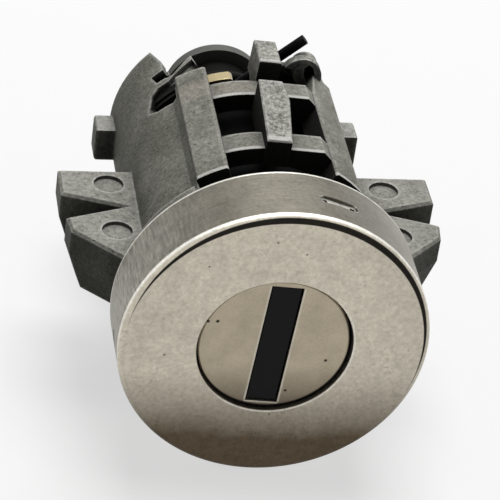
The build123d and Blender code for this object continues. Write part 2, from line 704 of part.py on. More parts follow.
def make_clip():
    """The clip that holds the driver on the tang."""
    y0 = drive_rear_y + 0.08
    y1 = y0 + clip_thickness
    w = tang_width / 2 - clip_groove_depth + 0.02
    t = tang_thickness / 2 + 0.05
    return rod(clip_radius, y0, y1) - block(-w, w, y0 - 1, y1 + 1, -clip_radius - 1, t)


shutter_pin = Pos(shutter_pivot_x, shutter_pivot_y, 0) * Cylinder(shutter_pin_radius, 2 * shutter_pin_half)

nodes = {
    "lock_housing": make_housing(),
    "face_cap": make_cap(),
    "lock_plug": make_plug(),
    "plug_face_plate": make_face_plate(),
    "key_shutter": make_shutter(),
    "shutter_pin": shutter_pin,
    "shutter_spring": make_shutter_spring(),
    "retaining_wafer": make_retainer(),
    "retaining_spring": make_retainer_spring(),
    "return_spring": make_return_spring(),
    "drive_plate": make_drive_plate(),
    "drive_clip": make_clip(),
}
for i in range(wafer_count):
    nodes["wafer_%d" % (i + 1)] = make_wafer(i)
    nodes["wafer_spring_%d" % (i + 1)] = make_wafer_spring(i)

os.makedirs("parts", exist_ok=True)
for name, shape in nodes.items():
    export_step(shape, "parts/" + name + ".step")
    print(name, len(shape.solids()), "solid", round(shape.volume, 2), "mm3")
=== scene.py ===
# %% [markdown]
# # A car door lock
# This lesson dresses the lock of a car's front door: a pressed steel cap with a shuttered key slot,
# a die-cast housing behind it, and the black spring that turns the plug back.
# The solids come ready made, at their real size, so the work here is finish, light and camera.
# Y is the lock's own axis and grows to the rear, Z is up, and the cap's rear edge lies at y = 0.
# Lengths on the lock are written in millimetres, and `MM` turns them into Blender's metres. The
# studio round it is laid out in metres.

# %% Load the lock
import math

import bpy
from mathutils import Matrix, Vector


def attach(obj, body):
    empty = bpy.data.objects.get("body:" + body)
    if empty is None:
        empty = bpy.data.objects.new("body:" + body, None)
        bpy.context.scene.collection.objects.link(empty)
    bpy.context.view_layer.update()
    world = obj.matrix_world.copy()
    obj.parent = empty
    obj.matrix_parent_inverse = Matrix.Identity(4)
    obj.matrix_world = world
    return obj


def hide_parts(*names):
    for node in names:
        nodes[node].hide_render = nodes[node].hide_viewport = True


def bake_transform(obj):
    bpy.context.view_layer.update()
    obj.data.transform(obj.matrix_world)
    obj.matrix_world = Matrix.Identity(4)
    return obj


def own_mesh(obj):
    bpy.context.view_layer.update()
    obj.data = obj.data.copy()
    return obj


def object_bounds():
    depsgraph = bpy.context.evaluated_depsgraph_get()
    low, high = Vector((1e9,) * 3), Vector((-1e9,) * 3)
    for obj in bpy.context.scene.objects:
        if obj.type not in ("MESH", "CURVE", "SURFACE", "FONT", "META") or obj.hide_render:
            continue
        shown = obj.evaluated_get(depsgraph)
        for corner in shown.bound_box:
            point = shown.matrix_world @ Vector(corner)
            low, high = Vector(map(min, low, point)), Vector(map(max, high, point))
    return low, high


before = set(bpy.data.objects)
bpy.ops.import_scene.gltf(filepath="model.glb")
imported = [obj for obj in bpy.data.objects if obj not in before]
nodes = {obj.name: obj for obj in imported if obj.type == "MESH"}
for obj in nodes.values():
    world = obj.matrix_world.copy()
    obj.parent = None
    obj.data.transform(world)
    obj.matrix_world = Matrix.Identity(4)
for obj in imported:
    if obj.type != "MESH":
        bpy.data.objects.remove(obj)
cad_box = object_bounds()
MM = 0.001

# %% [markdown]
# A shader is easier to read as sums than as boxes and wires, so `Field` wraps one socket and turns
# ordinary Python arithmetic into Math nodes. It could have been a function for each operation, but
# then a mask such as `1 - edge * 0.5` would be read from the inside out.

# %% Arithmetic on sockets
class Field:
    """One socket of a shader, as a number that changes over the surface."""

    def __init__(self, tree, socket):
        self.tree = tree
        self.socket = socket

    def maths(self, operation, *values, clamp=False):
        """A new Math node with these values, numbers or fields, in its sockets."""
        made = self.tree.nodes.new("ShaderNodeMath")
        made.operation = operation
        made.use_clamp = clamp
        for slot, value in zip(made.inputs, values):
            if isinstance(value, Field):
                self.tree.links.new(value.socket, slot)
            else:
                slot.default_value = value
        return Field(self.tree, made.outputs[0])

    def __add__(self, other):
        return self.maths("ADD", self, other)

    def __radd__(self, other):
        return self.maths("ADD", other, self)

    def __sub__(self, other):
        return self.maths("SUBTRACT", self, other)

    def __rsub__(self, other):
        return self.maths("SUBTRACT", other, self)

    def __mul__(self, other):
        return self.maths("MULTIPLY", self, other)

    def __rmul__(self, other):
        return self.maths("MULTIPLY", other, self)

    def __truediv__(self, other):
        return self.maths("DIVIDE", self, other)

    def __pow__(self, other):
        return self.maths("POWER", self, other)

    def size(self):
        """The value without its sign."""
        return self.maths("ABSOLUTE", self)

    def either(self, other):
        """The larger of two masks, so that one is laid over the other."""
        return self.maths("MAXIMUM", self, other)

    def hypotenuse(self, other):
        """The straight distance over two steps at right angles."""
        return (self * self + other * other) ** 0.5

    def above(self, edge, soft):
        """0 below the edge and 1 above it, with a soft step this wide."""
        return self.maths("MULTIPLY_ADD", self, 1 / soft, 0.5 - edge / soft, clamp=True)

    def below(self, edge, soft):
        """1 below the edge and 0 above it."""
        return self.maths("MULTIPLY_ADD", self, -1 / soft, 0.5 + edge / soft, clamp=True)

    def near(self, middle, half, soft):
        """1 within half of the middle, 0 further off."""
        return (self - middle).size().below(half, soft)


# %% [markdown]
# `Shader` adds the nodes that arithmetic can't, through one method: first the node's settings, then
# its sockets. Adding nodes by hand takes a line for each link, and the links hide what is meant.
# The world and the floor use it too.

# %% One method for every other node
class Shader:
    """A node tree with one way to add a node."""

    def __init__(self, tree):
        self.tree = tree

    def node(self, kind, settings=None, sockets=None, out=0):
        made = self.tree.nodes.new(kind)
        for name, value in (settings or {}).items():
            setattr(made, name, value)
        for name, value in (sockets or {}).items():
            self.put(made.inputs[name], value)
        return Field(self.tree, made.outputs[out])

    def put(self, slot, value):
        """Links a field to a socket, or sets the socket's own value."""
        if isinstance(value, Field):
            self.tree.links.new(value.socket, slot)
        elif isinstance(value, tuple) and slot.type == "RGBA":
            slot.default_value = (*value, 1)
        else:
            slot.default_value = value

    def mix(self, share, first, second):
        """The first colour where share is 0, and the second where it is 1."""
        settings = {"data_type": "RGBA", "clamp_factor": True}
        return self.node("ShaderNodeMix", settings, {0: share, 6: first, 7: second}, out=2)

    def seen_directly(self):
        """1 for rays that show the surroundings as they are: to the camera, in metal and in glass."""
        rays = ("Is Camera Ray", "Is Glossy Ray", "Is Transmission Ray")
        camera, glossy, through = [self.node("ShaderNodeLightPath", out=ray) for ray in rays]
        return camera.either(glossy).either(through)


# %% [markdown]
# `Finish` is a shader on a surface. It knows where each point of the lock lies, how far that is from
# the axis and which way the surface looks, and every mask further on is written with these. Painted
# images would do as well, but each solid would have to be unwrapped for them first.

# %% A finish knows its place
AIR_SAMPLES = 8
EDGE_SAMPLES = 6
# Edges show where 1 less the cosine between the rounded and the real direction passes this
EDGE_TURN = 0.06
EDGE_TURN_SOFT = 0.08


class Finish(Shader):
    """One material, with its Principled shader at hand."""

    def __init__(self, name, metallic, roughness, specular=0.5):
        self.material = bpy.data.materials.new(name)
        self.material.use_nodes = True
        super().__init__(self.material.node_tree)
        self.shader = self.tree.nodes["Principled BSDF"]
        self.put(self.shader.inputs["Metallic"], metallic)
        self.put(self.shader.inputs["Roughness"], roughness)
        self.put(self.shader.inputs["Specular IOR Level"], specular)
        place = self.node("ShaderNodeTexCoord", out="Object")
        self.place = self.node("ShaderNodeVectorMath", {"operation": "SCALE"}, {0: place, "Scale": 1 / MM})
        self.x, self.y, self.z = [self.node("ShaderNodeSeparateXYZ", {}, {0: self.place}, axis)
                                  for axis in "XYZ"]
        self.radius = self.x.hypotenuse(self.z)
        facing = self.node("ShaderNodeTexCoord", out="Normal")
        self.facing_y, self.facing_z = [self.node("ShaderNodeSeparateXYZ", {}, {0: facing}, axis)
                                        for axis in "YZ"]
        self.angle = self.x.maths("ARCTAN2", self.z, self.x) * math.degrees(1)

    def vector(self, x, y, z):
        return self.node("ShaderNodeCombineXYZ", {}, {0: x, 1: y, 2: z})

    def noise(self, per_mm, detail=2.0, at=None, rough=0.5):
        """Soft noise round 0.5, with this many features a millimetre."""
        sockets = {"Vector": at or self.place, "Scale": per_mm, "Detail": detail, "Roughness": rough}
        return self.node("ShaderNodeTexNoise", {}, sockets)

    def cells(self, per_mm):
        """Distance from the nearest of many scattered points."""
        return self.node("ShaderNodeTexVoronoi", {}, {"Vector": self.place, "Scale": per_mm})

    def spot(self, x, z, half, soft=0.12):
        """1 in a small round spot of a face that looks to the front."""
        return (self.x - x).hypotenuse(self.z - z).below(half, soft)

    def tint(self, colour, amount):
        """The colour, darkened or lightened by a field."""
        grey = self.node("ShaderNodeCombineColor", {}, {0: amount, 1: amount, 2: amount})
        settings = {"data_type": "RGBA", "blend_type": "MULTIPLY"}
        return self.node("ShaderNodeMix", settings, {0: 1.0, 6: colour, 7: grey}, out=2)

    def open_air(self, reach, power=1.0):
        """1 in the open and towards 0 deep in a corner or hole, as felt over this reach."""
        settings = {"samples": AIR_SAMPLES}
        return self.node("ShaderNodeAmbientOcclusion", settings, {"Distance": reach * MM}, "AO") ** power

    def rounded(self, width):
        """The surface's direction as it would be with edges rounded this much."""
        return self.node("ShaderNodeBevel", {"samples": EDGE_SAMPLES}, {"Radius": width * MM})

    def edges(self, width):
        """1 along sharp edges, 0 on flats."""
        straight = self.node("ShaderNodeNewGeometry", out="Normal")
        dot = {"operation": "DOT_PRODUCT"}
        same = self.node("ShaderNodeVectorMath", dot, {0: self.rounded(width), 1: straight}, out="Value")
        return (1 - same).above(EDGE_TURN, EDGE_TURN_SOFT)

    def colour(self, value):
        self.put(self.shader.inputs["Base Color"], value)

    def roughness(self, value):
        self.put(self.shader.inputs["Roughness"], value)

    def relief(self, height, depth, edge):
        """Bump from a field of heights, depth in millimetres, over softly rounded edges."""
        sockets = {"Strength": 1.0, "Distance": depth * MM, "Height": height, "Normal": self.rounded(edge)}
        self.put(self.shader.inputs["Normal"], self.node("ShaderNodeBump", {}, sockets))

    def count(self):
        print(self.material.name, "has", len(self.tree.nodes), "nodes")

    def dress(self, *names):
        """Puts this finish on the lock's own pieces."""
        for name in names:
            nodes[name].material_slots[0].material = self.material
        print(self.material.name, "on", len(names), "pieces")


# %% [markdown]
# The housing is zinc, cast in a steel die and left as it came out: matt grey with a slightly green
# cast. All of its skin could be painted as pictures, but fields of place and noise stay sharp at
# any distance. Three sizes of noise make the grain: broad clouds, mottling and sand.

# %% Cast zinc: the grain
ZINC_DARK = (0.152, 0.151, 0.126)
ZINC_PALE = (0.280, 0.278, 0.242)
ZINC_EDGE = (0.620, 0.615, 0.580)

zinc = Finish("cast zinc", metallic=0.0, roughness=0.6, specular=0.07)
broad = zinc.noise(0.22, detail=3)
fine = zinc.noise(2.2, detail=4, rough=0.7)
grain = zinc.noise(6.0, detail=3, rough=0.6)
tone = zinc.mix(broad.above(0.5, 0.36), ZINC_DARK, ZINC_PALE)
zinc.count()

# %% [markdown]
# Where the die rubbed and where hands reach, on the fin and the block along the top, the skin is
# open: flecks of bare metal lie between dark pits. The tops of the ears and lugs, low on the
# housing, are paler too, a painted highlight where they face up. The rear band has a painted warm
# reflection to the left of the fin. Each fleck could be placed by hand, but one can't be told from
# the next, so noise scatters them.

# %% Cast zinc: open skin, a painted highlight and a painted reflection
ZINC_WARM = (0.300, 0.277, 0.238)
SPECKLED_ABOVE = 12.5
LEDGES_BELOW = 5.0
LUGS_BEHIND = 25.0
WARM_REFLECTION_MIDDLE = 19.8
WARM_REFLECTION_HALF = 1.5
WARM_REFLECTION_RIGHT_END = -0.9
WARM_REFLECTION_ABOVE = 9.5

crown = zinc.z.above(SPECKLED_ABOVE, 0.4)
tone = zinc.mix(crown * 0.12, tone, ZINC_EDGE)
flecks = (fine * 0.6 + grain * 0.4).above(0.53, 0.16) * (0.15 + crown * 0.85)
pits = zinc.cells(1.9).below(0.2, 0.16) * fine.below(0.52, 0.14)
tone = zinc.mix(flecks * 0.55, tone, ZINC_EDGE)
# Painted highlight: faces that look up, low on the housing, are paler
lit_ledge = zinc.facing_z.above(0.93, 0.08) * zinc.z.below(LEDGES_BELOW, 1.0)
tone = zinc.mix(lit_ledge * (0.16 + zinc.y.above(LUGS_BEHIND, 2.0) * 0.34), tone, ZINC_EDGE)
# Painted reflection: a warm patch on the rear band, left of the fin
warm_reflection = zinc.x.below(WARM_REFLECTION_RIGHT_END, 0.8) * zinc.y.near(WARM_REFLECTION_MIDDLE, WARM_REFLECTION_HALF, 0.8)
tone = zinc.mix(warm_reflection * zinc.z.above(WARM_REFLECTION_ABOVE, 1.0) * 0.8, tone, ZINC_WARM)
zinc.count()

# %% [markdown]
# Every sharp edge is paler, partly from worn skin and partly from a painted highlight. The front
# ends of the rails, bands, fin and block get most: each gets a bright lip, a painted highlight on a
# narrow strip behind its front. A loop over their places makes the strips: a mask from the edges
# alone can't tell a front end from a side.

# %% Cast zinc: worn edges and painted highlights
# Each lip's front along Y, then from where to where it runs along X
FRONT_LIPS = ((4.7, -9.0, -3.5), (5.8, 3.5, 9.5), (8.1, -1.2, 1.6), (8.4, -5.0, 5.0), (18.4, -5.0, 5.0),
              (21.2, -0.4, 2.2))
LIP = 0.5
LIPS_ABOVE = 9.0
EDGE_WIDTH = 0.65

# Paler edges: partly worn skin, partly a painted highlight
worn_and_highlit = zinc.edges(EDGE_WIDTH) * (fine * 1.8 - 0.2)
for front, left, right in FRONT_LIPS:
    middle = (left + right) / 2
    # Each lip is a painted highlight behind a front end
    lit_lip = zinc.y.near(front + LIP / 2, LIP / 2, 0.1) * zinc.x.near(middle, right - middle, 0.3)
    lit_lip = lit_lip * zinc.z.above(LIPS_ABOVE, 0.5) * zinc.facing_z.above(0.4, 0.3)
    worn_and_highlit = worn_and_highlit.either(lit_lip * (0.5 + fine))
streaks = zinc.noise(1.0, detail=3, at=zinc.vector(zinc.x * 0.5, zinc.y * 4.5, zinc.z * 0.5))
shade = 1 + (fine - 0.5) * 1.6 + (grain - 0.5) * 0.6 + (streaks - 0.5) * 0.4
shade = shade * (1 - pits * 0.65 * (0.3 + crown * 0.7))
tone = zinc.mix(worn_and_highlit * 0.85, zinc.tint(tone, shade), ZINC_EDGE)
zinc.count()

# %% [markdown]
# Painted shade turns the inside of the shell black, and with it every flank and front in the open
# top, and the two pockets in the left side. The masks say where that is: by radius from the axis,
# by place, and by the way that a face looks. A brush could paint the same, but it would have to
# reach into every hollow of the casting.

# %% Cast zinc: painted shade
# Near black, for the painted shade
PAINTED_SHADE_COLOUR = (0.006, 0.0055, 0.005)
INSIDE_RADIUS = 10.9
SHELL_MIDDLE = 16.5
SHELL_HALF = 16.3
OPEN_TOP_ABOVE = 8.0
FLANKS_WITHIN = 7.4
FLANKS_MIDDLE = 12.0
FLANKS_HALF = 9.0
FRONTS_MIDDLE = 12.4
FRONTS_HALF = 9.4
# The pocket beside the left rail and the notch behind it: angle and half of it, y and half of its
# length, and the radius of the rim
SIDE_POCKETS = ((138.6, 8.0, 22.9, 2.2, 11.85), (135.5, 5.5, 26.8, 0.95, 11.6))

inside = zinc.radius.below(INSIDE_RADIUS, 0.3) * zinc.y.near(SHELL_MIDDLE, SHELL_HALF, 0.4)
flanks = zinc.facing_z.below(0.62, 0.12) * zinc.x.size().below(FLANKS_WITHIN, 0.4)
flanks = flanks * zinc.y.near(FLANKS_MIDDLE, FLANKS_HALF, 0.4)
fronts = zinc.facing_y.below(-0.75, 0.2) * zinc.y.near(FRONTS_MIDDLE, FRONTS_HALF, 0.4)
painted_shade = inside.either(flanks.either(fronts) * zinc.z.above(OPEN_TOP_ABOVE, 0.6))
for angle, half_angle, y, half_y, rim in SIDE_POCKETS:
    pocket = zinc.angle.near(angle, half_angle, 0.5) * zinc.y.near(y, half_y, 0.15)
    painted_shade = painted_shade.either(pocket * zinc.radius.below(rim, 0.1))
# Painted shade: the inside, flanks, fronts and pockets turn near black
tone = zinc.mix(painted_shade * 0.95, tone, PAINTED_SHADE_COLOUR)
zinc.count()

# %% [markdown]
# The tone is darker where a point has less open air round it: painted shade in the corners and
# hollows, as the light alone could give too. The relief is sand and pits, and the places of painted
# shade are rougher than the skin.

# %% Cast zinc: dress the housing
# Painted shade: darker where a point has less open air round it
zinc.colour(zinc.tint(tone, 0.02 + 0.98 * zinc.open_air(3.6, 1.5)))
zinc.roughness(0.45 + fine * 0.3 + painted_shade * 0.25)
zinc.relief(fine * 0.7 + grain * 0.3 - pits * 0.6, 0.09, edge=0.14)
zinc.dress("lock_housing")

# %% [markdown]
# The pocket beside the left rail ends at a thin wall of the casting. The solid leaves the bearing
# wall open there, so the wall is made here: a piece of a ring, four corners in section, swept
# round the axis by a loop. It keeps the light of the open rear out of the pocket.

# %% The pocket's rear wall
POCKET_RADII = (9.1, 11.2)
POCKET_ANGLES = (127.0, 148.0)
POCKET_WALL = (23.5, 23.98)
POCKET_STEPS = 12


def new_piece(name, vertices, faces, finish):
    """A mesh object in the scene, from its corners in metres and its faces."""
    mesh = bpy.data.meshes.new(name)
    mesh.from_pydata(vertices, [], faces)
    mesh.materials.append(finish.material)
    piece = bpy.data.objects.new(name, mesh)
    bpy.context.scene.collection.objects.link(piece)
    print(name, "has", len(mesh.polygons), "faces")
    return piece


def ring_piece(name, radii, angles, ends, steps, finish):
    """A closed piece of a ring round the lock's axis, in millimetres and degrees."""
    section = [(radii[0], ends[0]), (radii[1], ends[0]), (radii[1], ends[1]), (radii[0], ends[1])]
    vertices = []
    faces = []
    for i in range(steps + 1):
        turn = math.radians(angles[0] + (angles[1] - angles[0]) * i / steps)
        for radius, y in section:
            vertices.append(Vector((radius * math.cos(turn), y, radius * math.sin(turn))) * MM)
    for i in range(steps):
        for k in range(4):
            after = (k + 1) % 4
            faces.append((4 * i + k, 4 * i + 4 + k, 4 * i + 4 + after, 4 * i + after))
    faces.append((0, 1, 2, 3))
    faces.append((4 * steps + 3, 4 * steps + 2, 4 * steps + 1, 4 * steps))
    return new_piece(name, vertices, faces, finish)


pocket_wall = ring_piece("pocket_rear_wall", POCKET_RADII, POCKET_ANGLES, POCKET_WALL, POCKET_STEPS, zinc)
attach(pocket_wall, "lock_body")

# %% [markdown]
# The cap is pressed from stainless sheet, satin from use. Its face has soft mottling, and a painted
# dark reflection of the shadowed card browns it towards the bottom. A picture of that would show its
# pixels close by, so the border is a height that two sizes of noise push up and down.

# %% Satin steel: the face
STEEL_BRIGHT = (0.575, 0.530, 0.440)
STEEL_DARK_REFLECTION = (0.105, 0.080, 0.052)
BROWN_BELOW = -7.1
BROWN_FADE = 8.0

steel = Finish("satin steel", metallic=1.0, roughness=0.4)
broad = steel.noise(0.11, detail=3)
cloud = steel.noise(0.5, detail=5, rough=0.65)
fine = steel.noise(2.6, detail=4, rough=0.7)
height = steel.z - steel.x * 0.08 - (broad - 0.5) * 4 - (cloud - 0.5) * 3
# Painted dark reflection: the face darkens and browns towards the bottom
face = steel.mix(height.below(BROWN_BELOW, BROWN_FADE), STEEL_BRIGHT, STEEL_DARK_REFLECTION)
steel.count()

# %% [markdown]
# Tiny pits and scabs of dirt lie on the face in clusters, with a few darker dots between them. A
# black ring inside the rolled shoulder, thick at the top and thin at the sides, is a painted dark
# reflection. The dots lie where the photograph has them, because the eye finds each one. The rest
# is left to noise.

# %% Satin steel: dirt and a painted dark ring on the face
# Black for dirt, for painted shade and for a painted dark reflection
DIRT_AND_SHADE_BLACK = (0.008, 0.007, 0.006)
# The dots on the face: x and z
FACE_SPOTS = ((-8.0, 8.63), (-10.4, -1.81), (-2.1, 11.91), (0.85, 10.85), (1.02, -7.98))
FACE_SPOT_RADIUS = 0.10
RING_RADIUS = 14.46
RING_WIDTH = 0.33
RING_GROWS_ABOVE = 6.0

clusters = cloud.above(0.56, 0.08)
scabs = steel.noise(1.7, detail=5, rough=0.75).below(0.42, 0.08) * clusters
pits = steel.cells(1.5).below(0.14, 0.2) * clusters
dirt_and_painted_dark = pits * 0.3 + scabs * 0.22
for x, z in FACE_SPOTS:
    dirt_and_painted_dark = dirt_and_painted_dark.either(steel.spot(x, z, FACE_SPOT_RADIUS) * 0.75)
# Painted dark reflection: a black ring inside the shoulder
ring_width = (steel.z + steel.x * 0.2).above(RING_GROWS_ABOVE, 16.0) * RING_WIDTH
ring = ((steel.radius - RING_RADIUS).size() - ring_width).below(-0.02, 0.08)
dirt_and_painted_dark = dirt_and_painted_dark.either(ring * 0.98)
steel.count()

# %% [markdown]
# Two rims catch the light: the lower right edge of the hole for the plug, and the rolled shoulder
# over the upper half of the face. Both are strips by radius or depth, faded in from one side, since
# a mask from sharp edges would go all the way round.

# %% Satin steel: bright rims
STEEL_RIM = (0.80, 0.78, 0.72)
STEEL_SHOULDER = (0.93, 0.91, 0.85)
HOLE_RIM = 7.68
HOLE_RIM_HALF = 0.07
SHOULDER_FROM = -7.2

lit_lip = steel.radius.near(HOLE_RIM, HOLE_RIM_HALF, 0.08) * (steel.x - steel.z).above(1.5, 5.0)
face = steel.mix(lit_lip * 0.7, face, STEEL_RIM)
shoulder = steel.y.above(SHOULDER_FROM, 0.14) * steel.z.above(0.0, 12.0)
face = steel.mix(shoulder * 0.85, face, STEEL_SHOULDER)
steel.count()

# %% [markdown]
# The band round the cap was turned while it was polished, so its streaks run round the axis: the
# noise is read by angle instead of by place, which draws it out into lines. An anisotropic shader
# would give the sheen of turned metal, but not its lines. The band is paler at both sides. Its cut
# edge and the pressed dimple near the top get a painted highlight, and the dimple's two pinholes
# painted shade.

# %% Satin steel: the band
STEEL_BAND = (0.145, 0.134, 0.110)
STEEL_BAND_SIDE = (0.300, 0.285, 0.245)
CUT_EDGE = -0.14
TICKS_FROM_ANGLE = 130.0
LEFT_SIDE_FROM_ANGLE = 145.0
RIGHT_SIDE_TO_ANGLE = 58.0
DIMPLE_ANGLE = 75.2
DIMPLE_HALF_ANGLE = 7.0
DIMPLE_HALF_LENGTH = 0.5
DIMPLE_Y = -3.9
# A pinhole at either end of the dimple: this far from its middle, in degrees
PINHOLE_OFF = 5.7
PINHOLE_HALF_ANGLE = 0.8
PINHOLE_HALF_LENGTH = 0.2

round_way = steel.vector(steel.angle * 0.035, steel.y * 7, steel.radius * 0.4)
streaks = steel.noise(1.0, detail=4, at=round_way, rough=0.6)
ticks = steel.noise(1.0, detail=2, at=steel.vector(steel.angle * 0.9, steel.y * 0.5, 0.0))
far_left = steel.angle.above(TICKS_FROM_ANGLE, 20.0)
left_side = steel.angle.above(LEFT_SIDE_FROM_ANGLE, 50.0)
right_side = steel.angle.below(RIGHT_SIDE_TO_ANGLE, 40.0)
band = steel.mix(left_side.either(right_side), STEEL_BAND, STEEL_BAND_SIDE)
band = steel.tint(band, 0.55 + streaks * 0.9 + (ticks - 0.5) * far_left * 1.6)
# Painted highlights on the cut edge and the dimple
band = steel.mix(steel.y.near(CUT_EDGE, 0.1, 0.1) * 0.75, band, STEEL_RIM)
along = (steel.angle - DIMPLE_ANGLE).size()
dimple = along.below(DIMPLE_HALF_ANGLE, 0.6) * steel.y.near(DIMPLE_Y, DIMPLE_HALF_LENGTH, 0.1)
band = steel.mix(dimple * 0.6, band, STEEL_RIM)
# Painted shade in the dimple's pinholes
pinholes = along.near(PINHOLE_OFF, PINHOLE_HALF_ANGLE, 0.4)
band = steel.mix(pinholes * steel.y.near(DIMPLE_Y, PINHOLE_HALF_LENGTH, 0.1), band, DIRT_AND_SHADE_BLACK)
steel.count()

# %% [markdown]
# Face and band meet at the shoulder, and one mask by depth puts them together. They could be two
# materials, but then the line between them would follow the solid's faces. The same three noises
# mottle all of it, the right side of the face is a little darker, and painted shade darkens its
# corners.

# %% Satin steel: dress the cap
BAND_FROM = -6.85
FACE_UP_TO = -6.9
DARKER_FROM_X = 9.0

beside = steel.y.above(BAND_FROM, 0.2)
colour = steel.mix(beside, steel.mix(dirt_and_painted_dark, face, DIRT_AND_SHADE_BLACK), band)
mottled = 1 + (broad - 0.5) * 0.3 + (cloud - 0.5) * 0.6 + (fine - 0.5) * 0.9
mottled = mottled * (1 - steel.x.above(DARKER_FROM_X, 9.0) * steel.y.below(FACE_UP_TO, 0.2) * 0.16)
# Painted shade: darker where a point has less open air round it
steel.colour(steel.tint(colour, mottled * (0.3 + 0.7 * steel.open_air(0.8))))
steel.roughness(0.32 + fine * 0.12 + cloud * 0.06 + streaks * beside * 0.1)
steel.relief(fine * 0.5 + cloud * 0.5 - pits * 0.6, 0.022, edge=0.08)
steel.dress("face_cap")

# %% [markdown]
# The round plate in the plug's face is a sheet of its own, browner than the cap. A pale line beside
# the slot's edge follows its long sides and its foot. Two drilled dots mark its left side, and two
# specks lie to the right. Its lower right edge turns away from the light, so a dark crescent lies
# beside the hole in the cap. The burr could be a thin solid, but at its real height it would hardly
# show, so a pale line beside the slot's edge stands for it.

# %% Plug plate
PLATE = (0.415, 0.360, 0.270)
PLATE_LOW = (0.150, 0.125, 0.092)
PLATE_SLOT_LINE = (0.60, 0.575, 0.50)
PLATE_DARK_BELOW = -4.8
PLATE_RIM = 7.12
# The dots and specks: x, z and radius
PLATE_SPOTS = ((-6.85, 2.17, 0.15), (-5.95, 2.25, 0.17), (5.31, -1.37, 0.15), (2.12, -5.26, 0.14))
SLOT_HALF_WIDTH = 1.57
SLOT_HALF_HEIGHT = 6.75
SLOT_LINE_OFF = 0.08
SLOT_LINE_HALF = 0.1

plate = Finish("plug plate steel", metallic=1.0, roughness=0.4)
cloud = plate.noise(0.45, detail=4, rough=0.6)
fine = plate.noise(4.5, detail=4, rough=0.65)
tone = plate.mix((plate.z - plate.x * 0.1).below(PLATE_DARK_BELOW, 4.5), PLATE, PLATE_LOW)
# A pale line just outside the slot's edges
sides = plate.x.size().near(SLOT_HALF_WIDTH + SLOT_LINE_OFF, SLOT_LINE_HALF, 0.08)
sides = sides * plate.z.size().below(SLOT_HALF_HEIGHT, 0.2)
foot = plate.x.size().below(SLOT_HALF_WIDTH + 0.1, 0.1)
foot = foot * plate.z.near(-SLOT_HALF_HEIGHT - SLOT_LINE_OFF, SLOT_LINE_HALF, 0.1)
tone = plate.mix(sides.either(foot) * (0.3 + fine * 0.5), tone, PLATE_SLOT_LINE)
dirt_and_painted_dark = plate.radius.above(PLATE_RIM, 0.16) * (plate.x - plate.z).above(2.5, 5.0)
for x, z, half in PLATE_SPOTS:
    dirt_and_painted_dark = dirt_and_painted_dark.either(plate.spot(x, z, half) * 0.95)
mottled = 1 + (cloud - 0.5) * 0.5 + (fine - 0.5) * 0.5
plate.colour(plate.tint(plate.mix(dirt_and_painted_dark, tone, DIRT_AND_SHADE_BLACK), mottled))
plate.roughness(0.34 + fine * 0.14)
plate.relief(fine * 0.5 + cloud * 0.5, 0.010, edge=0.06)
plate.dress("plug_face_plate")

# %% [markdown]
# The rest is smaller or lies deeper. One function makes these finishes: a colour with its own
# cloud and grain, with painted shade in the corners and edges lighter, partly worn and partly a
# painted highlight. Each could be built up like the housing's, but pieces that are seen through a
# slot don't repay the work.

# %% One function for the smaller pieces
CHANGE = 0.4


def small_finish(name, colour, edge_colour, metallic, roughness, specular, reach):
    """A finish whose cloud and grain change its colour, with painted shade in corners over this reach."""
    made = Finish(name, metallic, roughness, specular)
    cloud = made.noise(0.6, detail=3)
    fine = made.noise(4.0, detail=4, rough=0.65)
    # Lighter edges: partly wear, partly a painted highlight
    tone = made.mix(made.edges(0.1) * (0.4 + fine * 0.8), colour, edge_colour)
    shade = 1 - CHANGE + (cloud + fine) * CHANGE
    # Painted shade in the corners
    made.colour(made.tint(tone, shade * (0.2 + 0.8 * made.open_air(reach))))
    made.roughness(roughness - 0.08 + fine * 0.16)
    made.relief(fine, 0.012, edge=0.06)
    return made


# %% [markdown]
# The flap is black-coated steel, the plug's zinc is painted near black as the shade inside the housing, the
# wafers are punched brass.
# Their values stand side by side, so that one can be compared with the next.

# %% Dress the smaller pieces
SPRINGS = ["wafer_spring_%d" % i for i in range(1, 9)]
WAFERS = ["wafer_%d" % i for i in range(1, 9)]
# Each finish: its name, colour, the colour of its edges, metallic, roughness, specular and reach
BLACK_FLAP = ("black flap", (0.0155, 0.0145, 0.0150), (0.04, 0.04, 0.04), 0.0, 0.55, 0.15, 1.5)
PLUG_IN_PAINTED_SHADE = ("plug in painted shade", (0.006, 0.006, 0.0055), (0.04, 0.04, 0.035), 0.0, 0.6, 0.05, 5.0)
ZINC_DRIVER = ("zinc driver", (0.13, 0.13, 0.118), (0.36, 0.36, 0.33), 0.0, 0.55, 0.1, 1.5)
BRIGHT_STEEL = ("bright steel", (0.42, 0.41, 0.38), (0.65, 0.64, 0.60), 1.0, 0.35, 0.5, 1.5)
WAFER_BRASS = ("wafer brass", (0.46, 0.30, 0.10), (0.80, 0.62, 0.32), 1.0, 0.32, 0.5, 2.5)
RETAINER_BRASS = ("retainer brass", (0.42, 0.35, 0.20), (0.74, 0.62, 0.36), 1.0, 0.3, 0.5, 1.5)

small_finish(*BLACK_FLAP).dress("key_shutter")
# The plug's near-black colour is painted shade
small_finish(*PLUG_IN_PAINTED_SHADE).dress("lock_plug")
small_finish(*ZINC_DRIVER).dress("drive_plate")
bright_steel = small_finish(*BRIGHT_STEEL)
bright_steel.dress("drive_clip", "shutter_pin", *SPRINGS)
small_finish(*WAFER_BRASS).dress(*WAFERS)
small_finish(*RETAINER_BRASS).dress("retaining_wafer")

# %% [markdown]
# The return spring is one length of round wire: a long straight leg, three turns and a bit, and
# a short foot bent in to the plug. The solid model draws it with flat facets, so here it is swept
# again as a smooth tube. A curve with a bevel could do it, but a ring of points carried along the
# path leaves control of the cut ends, which are square.

